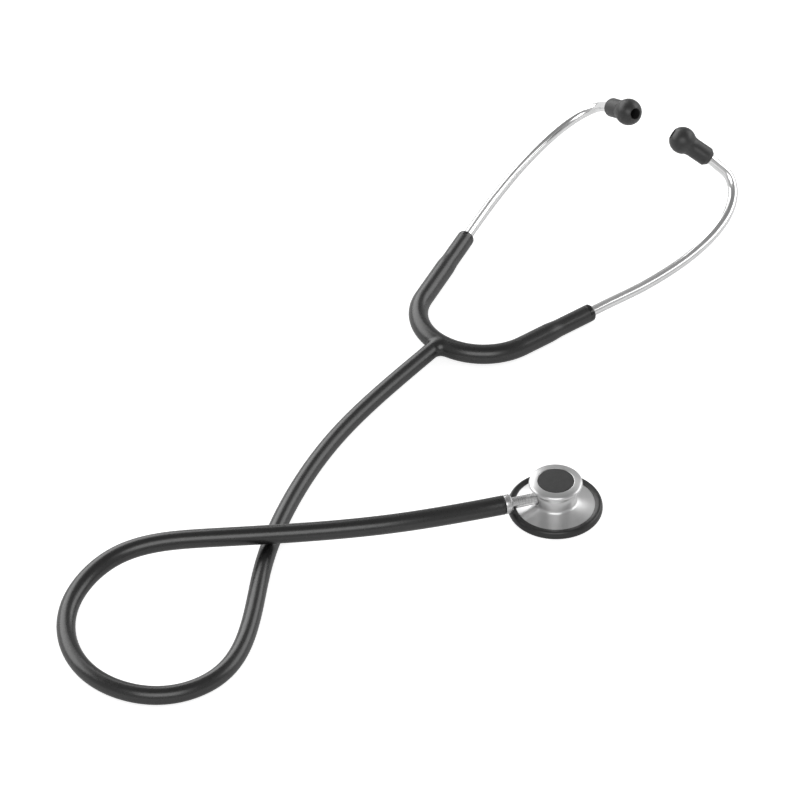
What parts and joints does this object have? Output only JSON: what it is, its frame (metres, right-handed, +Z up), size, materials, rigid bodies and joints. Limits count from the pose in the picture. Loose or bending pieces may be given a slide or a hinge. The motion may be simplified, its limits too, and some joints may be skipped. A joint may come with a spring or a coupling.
{
  "type": "stethoscope",
  "caption": "Dual-head acoustic stethoscope: round chest piece on a turning stem, looped black hose, U-shaped yoke, chromed ear tubes and soft ear tips.",
  "frame": {"origin": "centre of the large diaphragm's contact face, on the table", "axes": "+Z up out of the table through the chest piece; the stem leaves the chest piece along -X"},
  "size_m": [0.4148, 0.3602, 0.0475],
  "materials": {
    "aluminium": "satin, turned",
    "chrome": "polished",
    "steel": "satin",
    "tubing": "satin, moulded PVC",
    "glossy_band": "gloss",
    "rim_rubber": "satin",
    "ear_tip": "matte, soft",
    "dark_disc": "matte",
    "clear_resin": "satin"
  },
  "bodies": {
    "yoke": {"yoke_tube": "tubing", "spring_bow": "steel"},
    "left_leg": {"left_leg_tube": "tubing", "left_leg_band": "glossy_band", "left_spring_arm": "steel"},
    "left_ear_tube": {"left_ear_tube": "chrome"},
    "left_ear_tip": {"left_ear_tip": "ear_tip"},
    "right_leg": {"right_leg_tube": "tubing", "right_leg_band": "glossy_band", "right_spring_arm": "steel"},
    "right_ear_tube": {"right_ear_tube": "chrome"},
    "right_ear_tip": {"right_ear_tip": "ear_tip"},
    "hose_1": {"hose_link_1": "tubing"},
    "hose_2": {"hose_link_2": "tubing"},
    "hose_3": {"hose_link_3": "tubing"},
    "hose_4": {"hose_link_4": "tubing"},
    "hose_5": {"hose_link_5": "tubing"},
    "hose_6": {"hose_link_6": "tubing"},
    "hose_7": {"hose_link_7": "tubing"},
    "hose_end": {"hose_link_8": "tubing", "stem": "aluminium"},
    "chest_piece": {"chest_body": "aluminium", "large_diaphragm": "clear_resin", "diaphragm_rim": "rim_rubber", "small_diaphragm": "dark_disc", "detent_spring": "steel", "detent_screw": "steel", "retaining_pin": "steel"},
    "retaining_ring": {"retaining_ring": "aluminium"},
    "detent_ball": {"detent_ball": "steel"}
  },
  "joints": [
    {"name": "hose_lift_at_yoke", "type": "hinge", "parent": "yoke", "child": "hose_1", "pos_m": [-0.0472, 0.1086, 0.005], "axis": [-0.5949, 0.8038, 0], "range_deg": [0, 20]},
    {"name": "hose_bend_1", "type": "hinge", "parent": "hose_1", "child": "hose_2", "pos_m": [-0.086, 0.078, 0.0044], "axis": [-0.0025, -0.0023, 1], "range_deg": [-12, 12]},
    {"name": "hose_bend_2", "type": "hinge", "parent": "hose_2", "child": "hose_3", "pos_m": [-0.147, -0.003, 0.0044], "axis": [-0.0003, -0.0005, 1], "range_deg": [-12, 12]},
    {"name": "hose_bend_3", "type": "hinge", "parent": "hose_3", "child": "hose_4", "pos_m": [-0.189, -0.0705, 0.0045], "axis": [0.0031, 0.0018, 1], "range_deg": [-12, 12]},
    {"name": "hose_bend_4", "type": "hinge", "parent": "hose_4", "child": "hose_5", "pos_m": [-0.2485, -0.028, 0.0048], "axis": [0.0004, 0.0096, -1], "range_deg": [-12, 12]},
    {"name": "hose_bend_5", "type": "hinge", "parent": "hose_5", "child": "hose_6", "pos_m": [-0.169, 0.014, 0.0137], "axis": [0.0312, -0.0079, -0.9995], "range_deg": [-12, 12]},
    {"name": "hose_bend_6", "type": "hinge", "parent": "hose_6", "child": "hose_7", "pos_m": [-0.08, -0.0017, 0.0132], "axis": [-0.0512, 0.0022, -0.9987], "range_deg": [-12, 12]},
    {"name": "hose_lift_at_stem", "type": "hinge", "parent": "hose_7", "child": "hose_end", "pos_m": [-0.05, -0.0008, 0.0106], "axis": [0.0785, -0.9969, 0], "range_deg": [0, 20]},
    {"name": "chest_piece_turn", "type": "hinge", "parent": "hose_end", "child": "chest_piece", "pos_m": [0, 0, 0.0093], "axis": [-1, 0, 0], "range_deg": [0, 180]},
    {"name": "detent_ball_drop", "type": "slide", "parent": "chest_piece", "child": "detent_ball", "axis": [0, -1, 0], "range_m": [0, 0.00035]},
    {"name": "retaining_ring_turn", "type": "hinge", "parent": "chest_piece", "child": "retaining_ring", "pos_m": [0, 0, 0.016], "axis": [0, 0, 1], "range_deg": [0, 90]},
    {"name": "left_leg_spread", "type": "hinge", "parent": "yoke", "child": "left_leg", "pos_m": [-0.01475, 0.16566, 0.00563], "axis": [0.0157, 0.0111, 0.9998], "range_deg": [-3, 15], "stiffness_Nm_per_rad": 0.5},
    {"name": "left_ear_tube_twist", "type": "hinge", "parent": "left_leg", "child": "left_ear_tube", "pos_m": [0.02202, 0.20841, 0.00458], "axis": [0.652, 0.758, -0.0186], "range_deg": [-25, 15]},
    {"name": "left_ear_tip_pull", "type": "slide", "parent": "left_ear_tube", "child": "left_ear_tip", "axis": [0.273, -0.8841, 0.3793], "range_m": [0, 0.01]},
    {"name": "right_leg_spread", "type": "hinge", "parent": "yoke", "child": "right_leg", "pos_m": [0.02114, 0.11497, 0.00563], "axis": [-0.0157, -0.0111, -0.9998], "range_deg": [-3, 15], "stiffness_Nm_per_rad": 0.5},
    {"name": "right_ear_tube_twist", "type": "hinge", "parent": "right_leg", "child": "right_ear_tube", "pos_m": [0.06389, 0.13164, 0.00478], "axis": [-0.9315, -0.3631, 0.0186], "range_deg": [-25, 15]},
    {"name": "right_ear_tip_pull", "type": "slide", "parent": "right_ear_tube", "child": "right_ear_tip", "axis": [-0.7157, 0.4866, 0.501], "range_m": [0, 0.01]}
  ]
}
